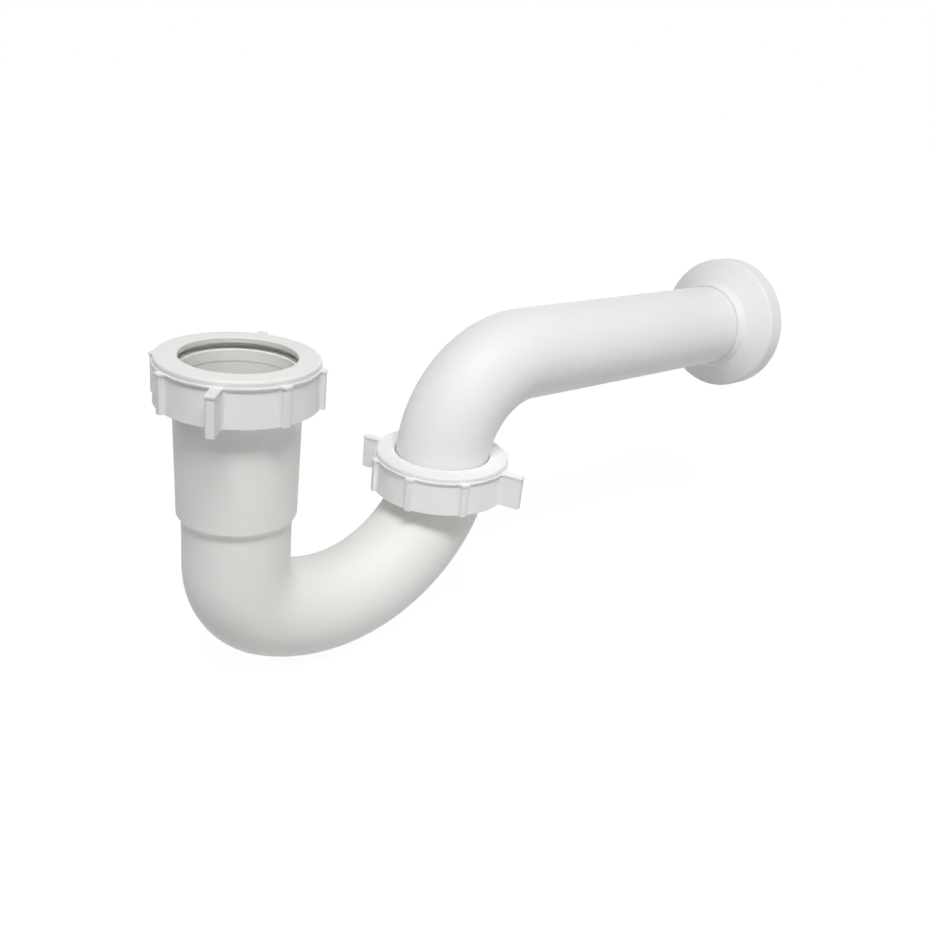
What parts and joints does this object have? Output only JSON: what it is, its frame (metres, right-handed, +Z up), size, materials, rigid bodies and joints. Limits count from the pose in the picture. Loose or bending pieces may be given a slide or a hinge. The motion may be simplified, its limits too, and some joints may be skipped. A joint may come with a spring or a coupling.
{
  "type": "sink trap",
  "caption": "Tubular sink P-trap: U bend with a slip socket, wall tube with elbow, wing nuts with taper washers and a sliding wall flange.",
  "frame": {"origin": "centre of the upper edge of the inlet's slip bore, just under the washer seat", "axes": "+Z up along the inlet, +X from the inlet towards the wall along the wall tube"},
  "size_m": [0.319, 0.0668, 0.1414],
  "materials": {
    "tube_plastic": "semi-gloss moulded white",
    "nut_plastic": "satin moulded white",
    "washer_plastic": "soft milky white"
  },
  "bodies": {
    "bend": {"trap_bend": "tube_plastic", "inlet_washer": "washer_plastic", "outlet_washer": "washer_plastic"},
    "inlet_nut": {"inlet_nut": "nut_plastic"},
    "outlet_nut": {"outlet_nut": "nut_plastic"},
    "wall_tube": {"wall_tube": "tube_plastic"},
    "wall_flange": {"wall_flange": "tube_plastic"}
  },
  "joints": [
    {"name": "inlet_nut_turn", "type": "hinge", "parent": "bend", "child": "inlet_nut", "pos_m": [0, 0, 0], "axis": [0, 0, 1], "continuous": true},
    {"name": "outlet_nut_turn", "type": "hinge", "parent": "bend", "child": "outlet_nut", "pos_m": [0.09276, 0, -0.04735], "axis": [0, 0, 1], "continuous": true},
    {"name": "wall_tube_swivel", "type": "hinge", "parent": "bend", "child": "wall_tube", "pos_m": [0.09276, 0, -0.04735], "axis": [0, 0, 1], "range_deg": [-140, 140]},
    {"name": "wall_flange_slide", "type": "slide", "parent": "wall_tube", "child": "wall_flange", "axis": [1, 0, 0], "range_m": [-0.126, 0.012]}
  ]
}
